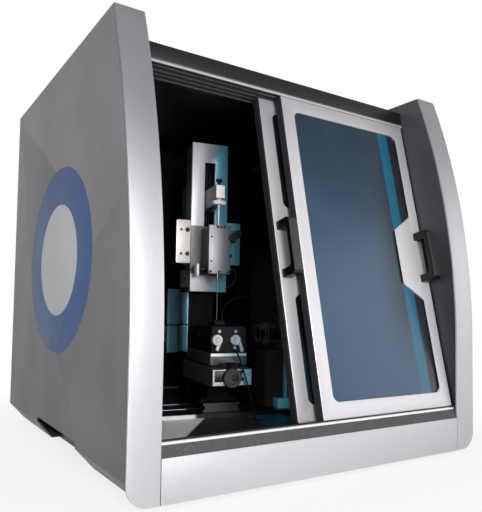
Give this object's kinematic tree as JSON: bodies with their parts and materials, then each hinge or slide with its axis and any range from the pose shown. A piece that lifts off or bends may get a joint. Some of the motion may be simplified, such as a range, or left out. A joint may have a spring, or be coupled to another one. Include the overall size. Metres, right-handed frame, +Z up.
{
  "type": "surface tensiometer",
  "caption": "Bench surface tensiometer: a draught cabinet with sliding tinted doors round a syringe drive, a heated drop cell on a stage, and a camera.",
  "frame": {"origin": "centre of the bounding box's bottom, on the plane of the four feet", "axes": "+X to the right as seen from the front, +Y towards the back, +Z up"},
  "size_m": [0.6, 0.615, 0.603],
  "materials": {
    "side_grey": "satin",
    "front_silver": "satin anodised",
    "door_silver": "satin",
    "inner_grey": "satin",
    "dark_metal": "satin",
    "smoked_pane": "tinted",
    "seal_rubber": "matte",
    "strip_rubber": "grained",
    "handle_black": "fine grain",
    "instrument_black": "satin",
    "brushed_plate": "brushed",
    "dark_plate": "dark anodised, brushed",
    "steel": "turned",
    "chrome": "polished",
    "clear_glass": "clear",
    "fitting_silver": "satin",
    "sheet_black": "matte",
    "cable_black": "matte",
    "hose_grey": "matte",
    "cell_grey": "black anodised"
  },
  "bodies": {
    "cabinet": {"base_tray": "sheet_black", "chamber_floor": "brushed_plate", "right_side_panel": "side_grey", "left_side_panel": "side_grey", "side_liners": "inner_grey", "right_front_trim": "front_silver", "left_front_trim": "front_silver", "front_fascia": "front_silver", "sill_strip": "strip_rubber", "lower_track": "door_silver", "upper_track": "door_silver", "header_beam": "dark_metal", "roof_panel": "side_grey", "rear_panel": "sheet_black", "rear_cover_plates": "brushed_plate", "power_inlet": "handle_black", "power_supply": "steel", "rubber_feet": "seal_rubber", "bench_base": "dark_plate", "bench_rail": "brushed_plate", "stage_carrier": "instrument_black", "stage_bed": "instrument_black", "stage_end_plate": "brushed_plate", "column": "instrument_black", "camera_stand": "instrument_black", "camera_blades": "brushed_plate", "light_source": "instrument_black"},
    "left_door": {"left_door_frame": "door_silver", "left_door_window": "smoked_pane", "left_door_seal": "seal_rubber", "left_door_handle": "handle_black"},
    "right_door": {"right_door_frame": "door_silver", "right_door_window": "smoked_pane", "right_door_seal": "seal_rubber", "right_door_handle": "handle_black"},
    "stage": {"stage_table": "dark_plate", "cell_housing": "cell_grey", "cell_cap": "fitting_silver", "glass_cell": "clear_glass", "cell_fittings": "fitting_silver", "probe_cable": "cable_black", "cap_cable": "cable_black"},
    "handwheel": {"stage_handwheel": "instrument_black"},
    "head": {"head_bracket": "brushed_plate", "drive_plate": "brushed_plate", "drive_housing": "instrument_black", "drive_motor": "steel", "syringe_holder": "dark_plate", "holder_front_plate": "brushed_plate", "syringe_barrel": "clear_glass", "needle": "steel", "sensor_lead": "cable_black", "loop_hose": "hose_grey"},
    "feed_screw": {"drive_screw": "steel"},
    "pusher": {"pusher_block": "dark_plate", "plunger": "chrome"},
    "thumb": {"thumb_screw": "handle_black"},
    "knob": {"clamp_knob": "handle_black"},
    "camera": {"camera_body": "instrument_black", "camera_lens": "instrument_black"}
  },
  "joints": [
    {"name": "left_door_slide", "type": "slide", "parent": "cabinet", "child": "left_door", "axis": [-1, 0, 0], "range_m": [0, 0.208]},
    {"name": "right_door_slide", "type": "slide", "parent": "cabinet", "child": "right_door", "axis": [-1, 0, 0], "range_m": [0, 0.005]},
    {"name": "stage_slide", "type": "slide", "parent": "cabinet", "child": "stage", "axis": [0.1908, 0.9816, 0], "range_m": [-0.005, 0.005]},
    {"name": "handwheel_turn", "type": "hinge", "parent": "cabinet", "child": "handwheel", "pos_m": [-0.04811, -0.11468, 0.115], "axis": [0.1908, 0.9816, 0], "range_deg": [-452, 452]},
    {"name": "head_slide", "type": "slide", "parent": "cabinet", "child": "head", "axis": [0, 0, 1], "range_m": [-0.022, 0.04]},
    {"name": "pusher_slide", "type": "slide", "parent": "head", "child": "pusher", "axis": [0, 0, 1], "range_m": [-0.028, 0.045]},
    {"name": "feed_screw_turn", "type": "hinge", "parent": "head", "child": "feed_screw", "pos_m": [-0.01395, 0.0427, 0.405], "axis": [0, 0, 1], "range_deg": [-5045, 8105]},
    {"name": "thumb_screw_turn", "type": "hinge", "parent": "pusher", "child": "thumb", "pos_m": [-0.0275, -0.027, 0.45], "axis": [0, 0, 1], "range_deg": [0, 360]},
    {"name": "clamp_knob_turn", "type": "hinge", "parent": "head", "child": "knob", "pos_m": [-0.00329, -0.04393, 0.354], "axis": [0.1908, 0.9816, 0], "range_deg": [-180, 0]},
    {"name": "camera_focus", "type": "slide", "parent": "cabinet", "child": "camera", "axis": [0.9816, -0.1908, 0], "range_m": [-0.008, 0.008]}
  ],
  "couplings": [
    {"joint": "handwheel_turn", "follows": "stage_slide", "rad_per_m": 1570.8},
    {"joint": "feed_screw_turn", "follows": "pusher_slide", "rad_per_m": 3141.6}
  ]
}
